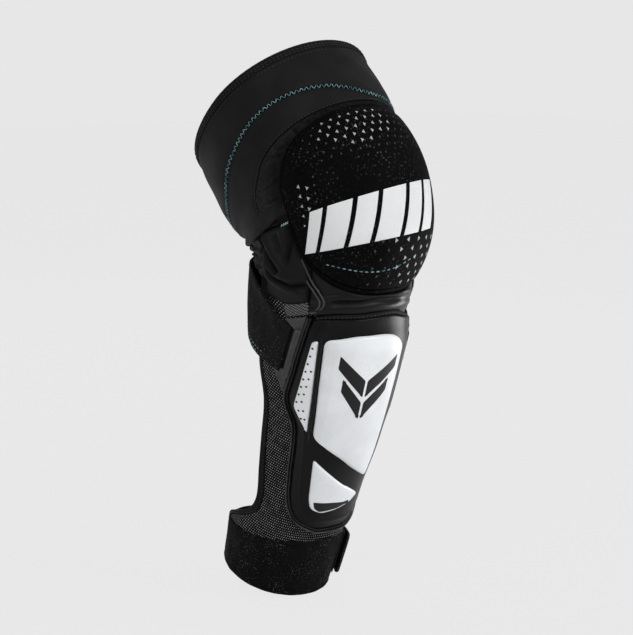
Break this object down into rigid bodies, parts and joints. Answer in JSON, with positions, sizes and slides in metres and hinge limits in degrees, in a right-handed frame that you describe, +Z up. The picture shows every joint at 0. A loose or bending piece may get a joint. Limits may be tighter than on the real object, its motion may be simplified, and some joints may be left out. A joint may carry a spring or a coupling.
{
  "type": "knee_guard",
  "caption": "Pre-curved knee and shin guard with a padded knee cup, white-plated shin shell, mesh sides, thigh cuff and hook-and-loop calf and ankle straps",
  "frame": {"origin": "On the knee's bending axis, where the shin's axis meets the thigh's axis", "axes": "+Z is up along the standing leg, -Y is the front of the leg, +X is the side the straps close on"},
  "size_m": [0.167, 0.2487, 0.5218],
  "materials": {
    "liner_jersey": "matte jersey lining",
    "impact_foam": "matte moulded foam",
    "shell_black": "satin moulded plastic",
    "rim_black": "satin piping",
    "plate_white": "satin-gloss moulded plastic",
    "air_mesh": "perforated spacer mesh",
    "binding_black": "smooth folded binding",
    "wing_grey": "satin moulded plastic",
    "elastic_black": "matte woven elastic",
    "tab_black": "satin faced tab",
    "hook_black": "hook tape",
    "loop_black": "brushed loop pile",
    "cup_knit": "stretch knit",
    "neoprene_black": "smooth laminated neoprene",
    "grip_silicone": "soft silicone strip"
  },
  "bodies": {
    "shin": {"shin_liner": "liner_jersey", "shin_foam": "impact_foam", "shin_shell": "shell_black", "shin_rim": "rim_black", "main_plate": "plate_white", "side_plate_inner": "plate_white", "side_plate_outer": "plate_white", "lower_plate": "plate_white", "mesh_panel_inner": "air_mesh", "mesh_panel_outer": "air_mesh", "panel_binding_inner": "binding_black", "panel_binding_outer": "binding_black", "strap_wing_inner": "wing_grey", "strap_wing_outer": "wing_grey", "calf_strap": "elastic_black", "calf_loop_patch": "loop_black", "ankle_band": "elastic_black", "ankle_strap": "elastic_black", "ankle_loop_patch": "loop_black", "side_pad_inner": "neoprene_black", "side_pad_outer": "neoprene_black", "knee_gusset": "neoprene_black", "rear_sleeve": "neoprene_black"},
    "knee": {"cup_liner": "liner_jersey", "cup_foam": "impact_foam", "cup_cover": "cup_knit", "cup_piping": "rim_black", "cup_surround": "neoprene_black"},
    "thigh": {"thigh_cuff": "neoprene_black", "thigh_hem": "binding_black", "thigh_grip": "grip_silicone", "thigh_sleeve": "neoprene_black"},
    "calf_tab": {"calf_tab": "tab_black", "calf_hook_pad": "hook_black"},
    "ankle_tab": {"ankle_tab": "tab_black", "ankle_hook_pad": "hook_black"}
  },
  "joints": [
    {"name": "cup_flex", "type": "hinge", "parent": "shin", "child": "knee", "pos_m": [0, 0, 0], "axis": [-1, 0, 0], "range_deg": [-9, 10], "stiffness_Nm_per_rad": 4, "deforming": ["knee_gusset", "rear_sleeve", "side_pad_inner", "side_pad_outer"]},
    {"name": "thigh_flex", "type": "hinge", "parent": "knee", "child": "thigh", "pos_m": [0, 0, 0], "axis": [-1, 0, 0], "range_deg": [-9, 10], "stiffness_Nm_per_rad": 2, "deforming": ["cup_surround", "thigh_sleeve"]},
    {"name": "calf_tab_peel", "type": "hinge", "parent": "shin", "child": "calf_tab", "pos_m": [0.0542, 0.08332, -0.07813], "axis": [0.0834, -0.1479, 0.9855], "range_deg": [0, 100]},
    {"name": "ankle_tab_peel", "type": "hinge", "parent": "shin", "child": "ankle_tab", "pos_m": [0.0472, 0.13559, -0.30697], "axis": [0.0206, -0.2338, 0.9721], "range_deg": [0, 100]}
  ],
  "couplings": [
    {"joint": "thigh_flex", "follows": "cup_flex", "ratio": 1}
  ]
}
